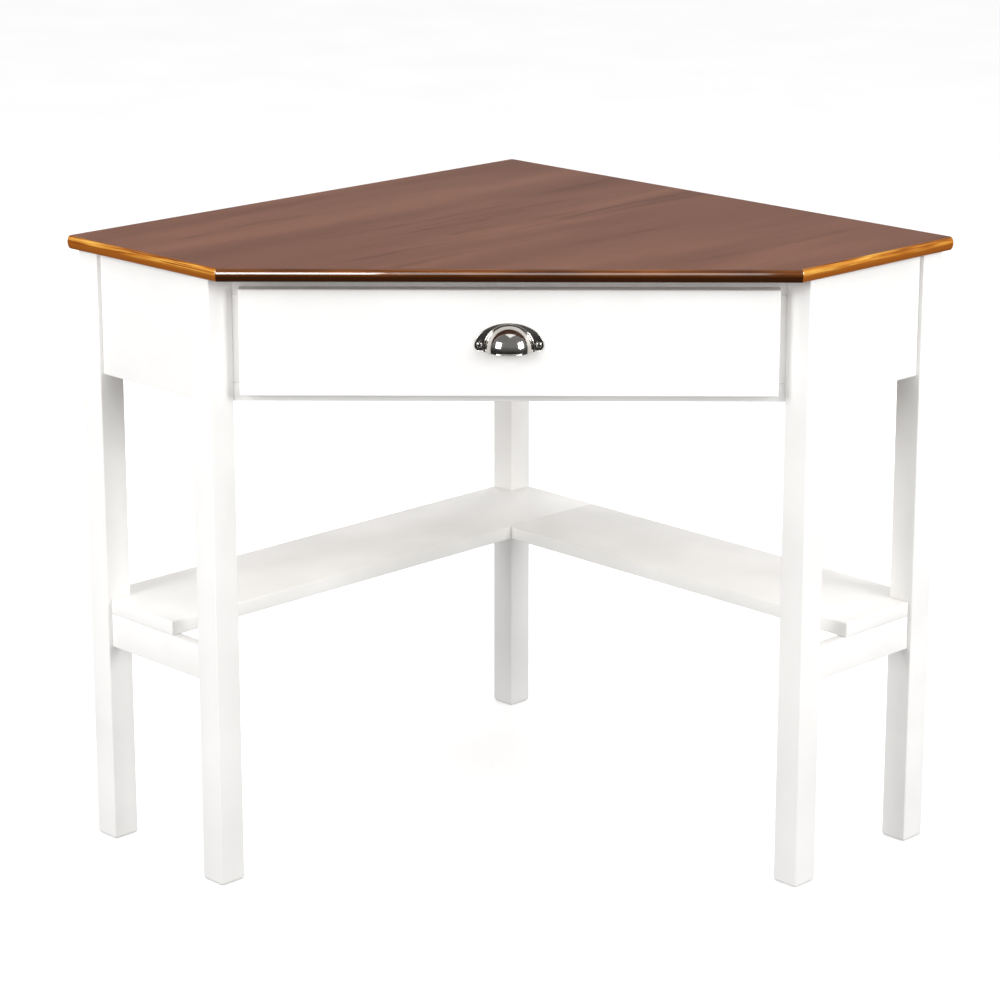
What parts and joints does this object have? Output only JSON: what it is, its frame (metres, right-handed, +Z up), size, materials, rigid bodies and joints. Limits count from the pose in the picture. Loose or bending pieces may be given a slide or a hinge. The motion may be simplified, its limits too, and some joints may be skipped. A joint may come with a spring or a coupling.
{
  "type": "corner desk",
  "caption": "Corner desk with a clipped-front wooden top, square legs, a wide drawer with a cup pull, and a low L-shaped shelf that joins at the rear corner.",
  "frame": {"origin": "on the floor, under the centre of the top's bounding box", "axes": "+X to the right when facing the drawer, +Y towards the desk's rear corner, +Z up"},
  "size_m": [1.0538, 0.718, 0.762],
  "materials": {
    "walnut_top": "walnut-brown stain under satin lacquer",
    "white_paint": "satin white paint on wood",
    "drawer_wood": "clear-sealed pale wood",
    "beech_dowel": "raw beech",
    "zinc_steel": "bright zinc plating",
    "polished_nickel": "polished nickel"
  },
  "bodies": {
    "desk": {"desk_top": "walnut_top", "leg_front_left": "white_paint", "leg_front_right": "white_paint", "leg_left": "white_paint", "leg_right": "white_paint", "leg_rear": "white_paint", "side_apron_left": "white_paint", "side_apron_right": "white_paint", "back_apron_left": "white_paint", "back_apron_right": "white_paint", "front_top_rail": "white_paint", "front_bottom_rail": "white_paint", "front_stile_left": "white_paint", "front_stile_right": "white_paint", "runner_board_left": "drawer_wood", "runner_board_right": "drawer_wood", "slide_outer_left": "zinc_steel", "slide_outer_right": "zinc_steel", "shelf_long": "white_paint", "shelf_short": "white_paint", "shelf_rail_left": "white_paint", "shelf_rail_right": "white_paint", "leg_dowels": "beech_dowel", "frame_dowels": "beech_dowel", "shelf_dowels": "beech_dowel", "shelf_screws": "zinc_steel", "top_brackets": "zinc_steel", "shelf_brackets": "zinc_steel", "bracket_screws": "zinc_steel", "slide_screws_desk": "zinc_steel"},
    "drawer": {"drawer_front": "white_paint", "drawer_side_left": "drawer_wood", "drawer_side_right": "drawer_wood", "drawer_back": "drawer_wood", "drawer_bottom": "drawer_wood", "slide_inner_left": "zinc_steel", "slide_inner_right": "zinc_steel", "slide_screws_drawer": "zinc_steel", "drawer_dowels": "beech_dowel", "drawer_screws": "zinc_steel", "cup_pull": "polished_nickel", "pull_screws": "polished_nickel"}
  },
  "joints": [
    {"name": "drawer_slide", "type": "slide", "parent": "desk", "child": "drawer", "axis": [0, -1, 0], "range_m": [0, 0.225]}
  ]
}
